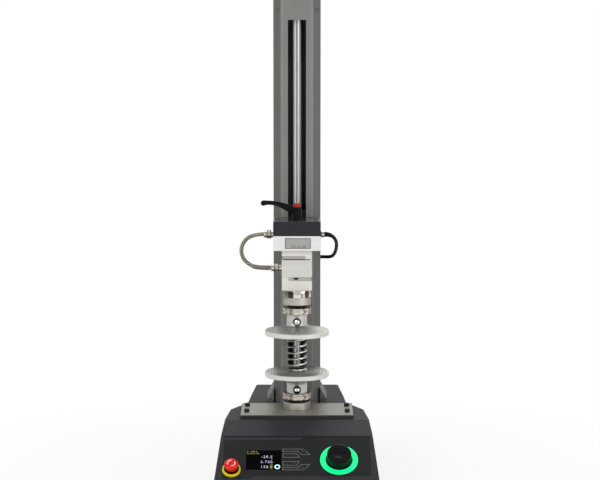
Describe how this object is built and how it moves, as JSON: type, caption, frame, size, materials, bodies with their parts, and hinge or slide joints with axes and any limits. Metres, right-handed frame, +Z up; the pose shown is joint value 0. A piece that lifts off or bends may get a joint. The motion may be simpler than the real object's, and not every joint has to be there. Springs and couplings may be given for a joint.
{
  "type": "universal testing machine",
  "caption": "Bench-top single-column testing machine with a sloped control panel, a slotted column, a driven crosshead, an S-beam load cell and compression platens.",
  "frame": {"origin": "on the bench, midway across and along the base", "axes": "+Z up, -Y towards the operator, +X to the operator's right"},
  "size_m": [0.3278, 0.523, 0.99],
  "materials": {
    "base_paint": "satin dark charcoal powder coat",
    "pan_steel": "plain dark coating",
    "foot_rubber": "matt",
    "fascia_film": "matt membrane",
    "display_glass": "gloss black",
    "ring_light": "translucent green",
    "key_film": "matt membrane",
    "board": "coated board",
    "dial_metal": "black anodised, turned",
    "stop_red": "gloss",
    "stop_yellow": "semi gloss",
    "contact_plastic": "moulded",
    "bed_steel": "fine ground",
    "screw_black": "black oxide",
    "column_coat": "fine textured grey coating",
    "cap_plastic": "moulded",
    "shaft_steel": "polished",
    "machined_alloy": "machined",
    "ground_steel": "ground",
    "motor_paint": "black",
    "belt_rubber": "moulded",
    "supply_case": "plated sheet",
    "socket_plastic": "moulded",
    "coupling_steel": "turned and satin",
    "platen_steel": "turned and polished",
    "spring_steel": "drawn wire",
    "pin_chrome": "polished",
    "module_white": "semi gloss",
    "module_dark": "moulded",
    "window_grey": "semi gloss",
    "cell_steel": "satin",
    "cover_steel": "satin",
    "gland_nickel": "nickel plated",
    "conduit_steel": "braided",
    "lead_jacket": "matt",
    "lever_black": "moulded",
    "button_red": "gloss"
  },
  "bodies": {
    "root": {"base_housing": "base_paint", "base_pan": "pan_steel", "rubber_feet": "foot_rubber", "control_fascia": "fascia_film", "display_glass": "display_glass", "dial_light_ring": "ring_light", "control_boards": "board", "estop_collar": "stop_yellow", "estop_contact_block": "contact_plastic", "test_bed_plate": "bed_steel", "socket_screws": "screw_black", "column": "column_coat", "column_top_cap": "cap_plastic", "column_foot_brackets": "column_coat", "guide_shaft": "shaft_steel", "head_block": "machined_alloy", "drive_plate": "machined_alloy", "screw_bearings": "ground_steel", "drive_belt": "belt_rubber", "drive_motor": "motor_paint", "power_supply": "supply_case", "mains_inlet": "socket_plastic", "data_sockets": "socket_plastic", "lower_adapter": "coupling_steel", "lower_platen": "platen_steel", "test_spring": "spring_steel"},
    "crosshead": {"carriage": "machined_alloy", "guide_bushes": "machined_alloy", "ball_nut": "ground_steel", "crosshead_arm": "machined_alloy", "module_housing": "module_white", "module_cap": "module_dark", "module_window": "window_grey", "load_cell_body": "cell_steel", "load_cell_cover": "cover_steel", "conduit_glands": "gland_nickel", "steel_conduit": "conduit_steel", "lead_connector": "gland_nickel", "signal_lead": "lead_jacket", "lead_socket": "contact_plastic", "upper_adapter": "coupling_steel", "upper_platen": "platen_steel"},
    "screw": {"ball_screw": "ground_steel", "screw_pulley": "machined_alloy"},
    "motor_rotor": {"motor_pulley": "machined_alloy"},
    "lever": {"clamp_lever": "lever_black"},
    "lever_button": {"clamp_button": "button_red"},
    "upper_collar": {"upper_lock_collar": "coupling_steel"},
    "lower_collar": {"lower_lock_collar": "coupling_steel"},
    "upper_pin": {"upper_coupling_pin": "pin_chrome"},
    "lower_pin": {"lower_coupling_pin": "pin_chrome"},
    "stop_stem": {"estop_stem": "stop_red"},
    "stop_cap": {"estop_cap": "stop_red"},
    "dial": {"jog_dial": "dial_metal"},
    "key_1": {"soft_key_1": "key_film"},
    "key_2": {"soft_key_2": "key_film"},
    "key_3": {"soft_key_3": "key_film"},
    "key_4": {"soft_key_4": "key_film"},
    "standby": {"standby_button": "key_film"},
    "mains_rocker": {"power_switch": "contact_plastic"}
  },
  "joints": [
    {"name": "crosshead_travel", "type": "slide", "parent": "root", "child": "crosshead", "axis": [0, 0, 1], "range_m": [0, 0.38]},
    {"name": "screw_spin", "type": "hinge", "parent": "root", "child": "screw", "pos_m": [0, 0.1155, 0.05], "axis": [0, 0, 1], "continuous": true},
    {"name": "motor_spin", "type": "hinge", "parent": "root", "child": "motor_rotor", "pos_m": [0, 0.2075, 0.05], "axis": [0, 0, 1], "continuous": true},
    {"name": "clamp_lever_swing", "type": "hinge", "parent": "crosshead", "child": "lever", "pos_m": [0, -0.0185, 0.5365], "axis": [0, 0, 1], "range_deg": [0, 90]},
    {"name": "clamp_button_press", "type": "slide", "parent": "lever", "child": "lever_button", "axis": [0, 0, -1], "range_m": [0, 0.002], "stiffness_N_per_m": 600, "springref_m": -0.001},
    {"name": "upper_collar_turn", "type": "hinge", "parent": "crosshead", "child": "upper_collar", "pos_m": [0, -0.0265, 0.3449], "axis": [0, 0, 1], "range_deg": [0, 90]},
    {"name": "lower_collar_turn", "type": "hinge", "parent": "root", "child": "lower_collar", "pos_m": [0, -0.0265, 0.1743], "axis": [0, 0, 1], "range_deg": [0, 90]},
    {"name": "upper_pin_pull", "type": "slide", "parent": "crosshead", "child": "upper_pin", "axis": [0, -1, 0], "range_m": [0, 0.045]},
    {"name": "lower_pin_pull", "type": "slide", "parent": "root", "child": "lower_pin", "axis": [0, -1, 0], "range_m": [0, 0.045]},
    {"name": "stop_press", "type": "slide", "parent": "root", "child": "stop_stem", "axis": [0, 0.6058, -0.7956], "range_m": [0, 0.0045]},
    {"name": "stop_twist", "type": "hinge", "parent": "stop_stem", "child": "stop_cap", "pos_m": [-0.1242, -0.22994, 0.0804], "axis": [0, 0.6058, -0.7956], "range_deg": [0, 45], "stiffness_Nm_per_rad": 0.05, "springref_deg": -171.89},
    {"name": "dial_turn", "type": "hinge", "parent": "root", "child": "dial", "pos_m": [0.0805, -0.20669, 0.09131], "axis": [0, -0.6058, 0.7956], "continuous": true},
    {"name": "key_1_press", "type": "slide", "parent": "root", "child": "key_1", "axis": [0, 0.6058, -0.7956], "range_m": [0, 0.0005], "stiffness_N_per_m": 1200, "springref_m": -0.0003},
    {"name": "key_2_press", "type": "slide", "parent": "root", "child": "key_2", "axis": [0, 0.6058, -0.7956], "range_m": [0, 0.0005], "stiffness_N_per_m": 1200, "springref_m": -0.0003},
    {"name": "key_3_press", "type": "slide", "parent": "root", "child": "key_3", "axis": [0, 0.6058, -0.7956], "range_m": [0, 0.0005], "stiffness_N_per_m": 1200, "springref_m": -0.0003},
    {"name": "key_4_press", "type": "slide", "parent": "root", "child": "key_4", "axis": [0, 0.6058, -0.7956], "range_m": [0, 0.0005], "stiffness_N_per_m": 1200, "springref_m": -0.0003},
    {"name": "standby_press", "type": "slide", "parent": "root", "child": "standby", "axis": [0, 0.6058, -0.7956], "range_m": [0, 0.001], "stiffness_N_per_m": 800, "springref_m": -0.0005},
    {"name": "mains_rocker_tilt", "type": "hinge", "parent": "root", "child": "mains_rocker", "pos_m": [-0.052, 0.252, 0.084], "axis": [-1, 0, 0], "range_deg": [0, 16]}
  ],
  "couplings": [
    {"joint": "screw_spin", "follows": "crosshead_travel", "rad_per_m": -628.32},
    {"joint": "motor_spin", "follows": "crosshead_travel", "rad_per_m": -942.48}
  ]
}
